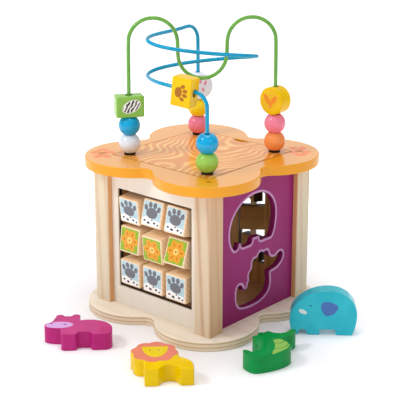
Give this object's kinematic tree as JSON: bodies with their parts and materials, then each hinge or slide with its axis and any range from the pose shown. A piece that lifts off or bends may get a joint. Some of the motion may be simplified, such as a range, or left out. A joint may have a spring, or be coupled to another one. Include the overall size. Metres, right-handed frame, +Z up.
{
  "type": "wooden activity cube",
  "caption": "Wooden activity cube with a lobed base and top, turning picture blocks, shape-sorter panels, turning tiles, loose animal pieces and a lift-off bead maze lid.",
  "frame": {"origin": "middle of the base board's underside, on the floor", "axes": "+Z up, -Y out of the picture-block panel, +X out of the sorter panel"},
  "size_m": [0.2735, 0.2827, 0.3119],
  "materials": {
    "birch_ply": "clear satin lacquer",
    "pine": "clear satin lacquer",
    "amber_lacquer": "gloss lacquer",
    "cream_paint": "satin paint",
    "plum_paint": "satin paint",
    "block_wood": "printed faces, satin",
    "tile_wood": "satin lacquer",
    "green_wire": "gloss coating",
    "blue_wire": "gloss coating",
    "black_plastic": "matte",
    "white_lacquer": "gloss lacquer",
    "blue_lacquer": "gloss lacquer",
    "green_lacquer": "gloss lacquer",
    "orange_lacquer": "gloss lacquer",
    "pink_lacquer": "gloss lacquer",
    "yellow_lacquer": "gloss lacquer",
    "turquoise_lacquer": "gloss lacquer",
    "crocodile_green_lacquer": "gloss lacquer",
    "magenta_lacquer": "gloss lacquer",
    "lion_yellow_lacquer": "gloss lacquer"
  },
  "bodies": {
    "cabinet": {"base_board": "birch_ply", "front_post": "pine", "right_post": "pine", "back_post": "pine", "left_post": "pine", "top_board": "amber_lacquer", "block_panel": "cream_paint", "sorter_panel": "plum_paint", "tile_panel": "cream_paint", "second_sorter_panel": "plum_paint", "upper_rod": "pine", "middle_rod": "pine", "lower_rod": "pine", "block_spacers": "pine", "tile_rod": "pine", "tile_spacers": "pine"},
    "lid": {"lid": "amber_lacquer", "green_wire": "green_wire", "blue_wire": "blue_wire", "wire_collars": "black_plastic"},
    "white_ball": {"white_ball": "white_lacquer"},
    "left_blue_ball": {"left_blue_ball": "blue_lacquer"},
    "green_block": {"green_block": "green_lacquer"},
    "orange_ball": {"orange_ball": "orange_lacquer"},
    "right_pink_ball": {"right_pink_ball": "pink_lacquer"},
    "yellow_disc": {"yellow_disc": "yellow_lacquer"},
    "back_pink_ball": {"back_pink_ball": "pink_lacquer"},
    "yellow_ball": {"yellow_ball": "yellow_lacquer"},
    "white_disc": {"white_disc": "white_lacquer"},
    "green_ball": {"green_ball": "green_lacquer"},
    "front_blue_ball": {"front_blue_ball": "blue_lacquer"},
    "yellow_block": {"yellow_block": "yellow_lacquer"},
    "top_left_block": {"top_left_block": "block_wood"},
    "top_middle_block": {"top_middle_block": "block_wood"},
    "top_right_block": {"top_right_block": "block_wood"},
    "middle_left_block": {"middle_left_block": "block_wood"},
    "centre_block": {"centre_block": "block_wood"},
    "middle_right_block": {"middle_right_block": "block_wood"},
    "bottom_left_block": {"bottom_left_block": "block_wood"},
    "bottom_middle_block": {"bottom_middle_block": "block_wood"},
    "bottom_right_block": {"bottom_right_block": "block_wood"},
    "upper_tile": {"upper_tile": "tile_wood"},
    "middle_tile": {"middle_tile": "tile_wood"},
    "lower_tile": {"lower_tile": "tile_wood"},
    "elephant": {"elephant": "turquoise_lacquer"},
    "crocodile": {"crocodile": "crocodile_green_lacquer"},
    "hippo": {"hippo": "magenta_lacquer"},
    "lion": {"lion": "lion_yellow_lacquer"}
  },
  "joints": [
    {"name": "lid_lift", "type": "slide", "parent": "cabinet", "child": "lid", "axis": [0, 0, 1], "range_m": [0, 0.06]},
    {"name": "white_ball_slide", "type": "slide", "parent": "lid", "child": "white_ball", "axis": [0, 0, 1], "range_m": [0, 0.02]},
    {"name": "left_blue_ball_slide", "type": "slide", "parent": "white_ball", "child": "left_blue_ball", "axis": [0, 0, 1], "range_m": [0, 0.02]},
    {"name": "green_block_turn", "type": "hinge", "parent": "left_blue_ball", "child": "green_block", "pos_m": [-0.053, -0.053, 0.22], "axis": [0, 0, 1], "continuous": true},
    {"name": "orange_ball_slide", "type": "slide", "parent": "lid", "child": "orange_ball", "axis": [0, 0, 1], "range_m": [0, 0.02]},
    {"name": "right_pink_ball_slide", "type": "slide", "parent": "orange_ball", "child": "right_pink_ball", "axis": [0, 0, 1], "range_m": [0, 0.02]},
    {"name": "yellow_disc_turn", "type": "hinge", "parent": "right_pink_ball", "child": "yellow_disc", "pos_m": [0.053, 0.053, 0.22], "axis": [0, 0, 1], "continuous": true},
    {"name": "back_pink_ball_slide", "type": "slide", "parent": "lid", "child": "back_pink_ball", "axis": [0, 0, 1], "range_m": [0, 0.016]},
    {"name": "yellow_ball_slide", "type": "slide", "parent": "back_pink_ball", "child": "yellow_ball", "axis": [0, 0, 1], "range_m": [0, 0.016]},
    {"name": "white_disc_turn", "type": "hinge", "parent": "yellow_ball", "child": "white_disc", "pos_m": [-0.053, 0.053, 0.22], "axis": [0, 0, 1], "continuous": true},
    {"name": "green_ball_slide", "type": "slide", "parent": "lid", "child": "green_ball", "axis": [0, 0, 1], "range_m": [0, 0.012]},
    {"name": "front_blue_ball_slide", "type": "slide", "parent": "green_ball", "child": "front_blue_ball", "axis": [0, 0, 1], "range_m": [0, 0.012]},
    {"name": "yellow_block_slide", "type": "slide", "parent": "lid", "child": "yellow_block", "axis": [0.9713, 0.2112, -0.1095], "range_m": [-0.01, 0]},
    {"name": "top_left_block_turn", "type": "hinge", "parent": "cabinet", "child": "top_left_block", "pos_m": [-0.032, -0.06325, 0.11826], "axis": [1, 0, 0], "continuous": true},
    {"name": "top_middle_block_turn", "type": "hinge", "parent": "cabinet", "child": "top_middle_block", "pos_m": [0, -0.06325, 0.11826], "axis": [1, 0, 0], "continuous": true},
    {"name": "top_right_block_turn", "type": "hinge", "parent": "cabinet", "child": "top_right_block", "pos_m": [0.032, -0.06325, 0.11826], "axis": [1, 0, 0], "continuous": true},
    {"name": "middle_left_block_turn", "type": "hinge", "parent": "cabinet", "child": "middle_left_block", "pos_m": [-0.032, -0.06325, 0.08375], "axis": [1, 0, 0], "continuous": true},
    {"name": "centre_block_turn", "type": "hinge", "parent": "cabinet", "child": "centre_block", "pos_m": [0, -0.06325, 0.08375], "axis": [1, 0, 0], "continuous": true},
    {"name": "middle_right_block_turn", "type": "hinge", "parent": "cabinet", "child": "middle_right_block", "pos_m": [0.032, -0.06325, 0.08375], "axis": [1, 0, 0], "continuous": true},
    {"name": "bottom_left_block_turn", "type": "hinge", "parent": "cabinet", "child": "bottom_left_block", "pos_m": [-0.032, -0.06325, 0.04924], "axis": [1, 0, 0], "continuous": true},
    {"name": "bottom_middle_block_turn", "type": "hinge", "parent": "cabinet", "child": "bottom_middle_block", "pos_m": [0, -0.06325, 0.04924], "axis": [1, 0, 0], "continuous": true},
    {"name": "bottom_right_block_turn", "type": "hinge", "parent": "cabinet", "child": "bottom_right_block", "pos_m": [0.032, -0.06325, 0.04924], "axis": [1, 0, 0], "continuous": true},
    {"name": "upper_tile_turn", "type": "hinge", "parent": "cabinet", "child": "upper_tile", "pos_m": [0.0125, 0.07045, 0.11825], "axis": [0, 0, 1], "continuous": true},
    {"name": "middle_tile_turn", "type": "hinge", "parent": "cabinet", "child": "middle_tile", "pos_m": [0.0125, 0.07045, 0.08375], "axis": [0, 0, 1], "continuous": true},
    {"name": "lower_tile_turn", "type": "hinge", "parent": "cabinet", "child": "lower_tile", "pos_m": [0.0125, 0.07045, 0.04925], "axis": [0, 0, 1], "continuous": true},
    {"name": "elephant_lift", "type": "slide", "parent": "cabinet", "child": "elephant", "axis": [0, 0, 1], "range_m": [0, 0.1]},
    {"name": "crocodile_lift", "type": "slide", "parent": "cabinet", "child": "crocodile", "axis": [0, 0, 1], "range_m": [0, 0.1]},
    {"name": "hippo_lift", "type": "slide", "parent": "cabinet", "child": "hippo", "axis": [0, 0, 1], "range_m": [0, 0.1]},
    {"name": "lion_lift", "type": "slide", "parent": "cabinet", "child": "lion", "axis": [0, 0, 1], "range_m": [0, 0.1]}
  ]
}
